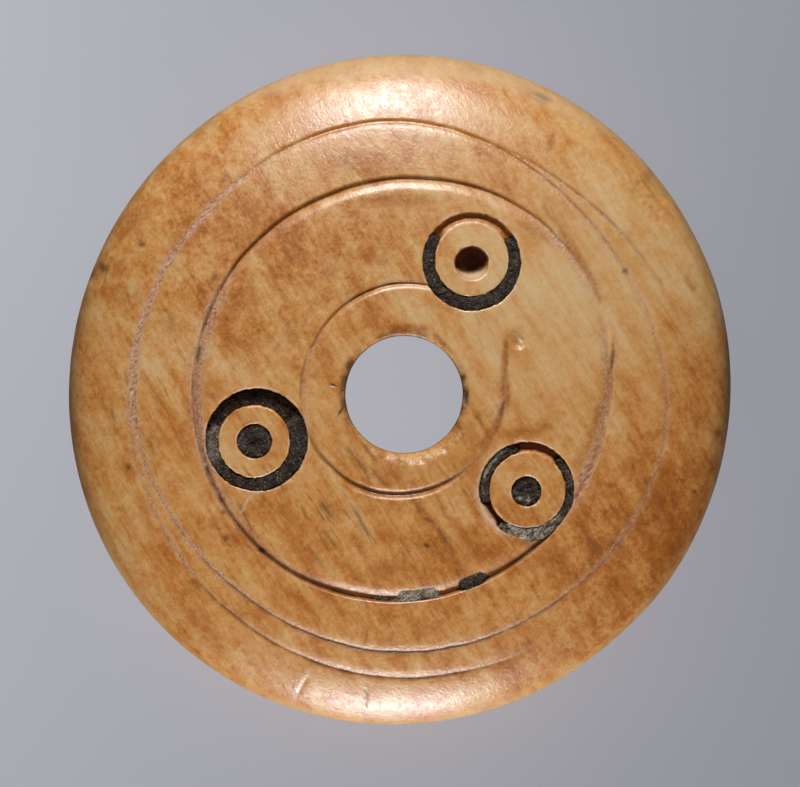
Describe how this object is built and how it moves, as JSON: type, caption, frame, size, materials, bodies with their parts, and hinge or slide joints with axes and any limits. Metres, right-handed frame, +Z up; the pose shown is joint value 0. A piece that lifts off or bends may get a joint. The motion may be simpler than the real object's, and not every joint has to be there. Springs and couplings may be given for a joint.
{
  "type": "bone spindle whorl",
  "caption": "Domed bone disc pierced for a spindle, with turned grooves and drilled ring-and-dot motifs that keep remains of dark paste.",
  "frame": {"origin": "middle of the disc's outline, on the flat underside", "axes": "+Z up through the domed top, square to the underside; +X and +Y in the plane of the disc, +Y towards the upper motif's side"},
  "size_m": [0.0338, 0.0342, 0.0075],
  "materials": {
    "bone": "polished, worn bone",
    "black_paste": "matt, granular",
    "grey_paste": "matt, dusty"
  },
  "bodies": {
    "root": {"whorl": "bone", "ring_fill_upper": "black_paste", "ring_fill_left": "black_paste", "dot_fill_left": "black_paste", "ring_fill_right_long": "black_paste", "ring_fill_right_short": "black_paste", "dot_fill_right": "black_paste", "groove_fill_grey": "grey_paste", "groove_fill_black": "black_paste"}
  },
  "joints": []
}
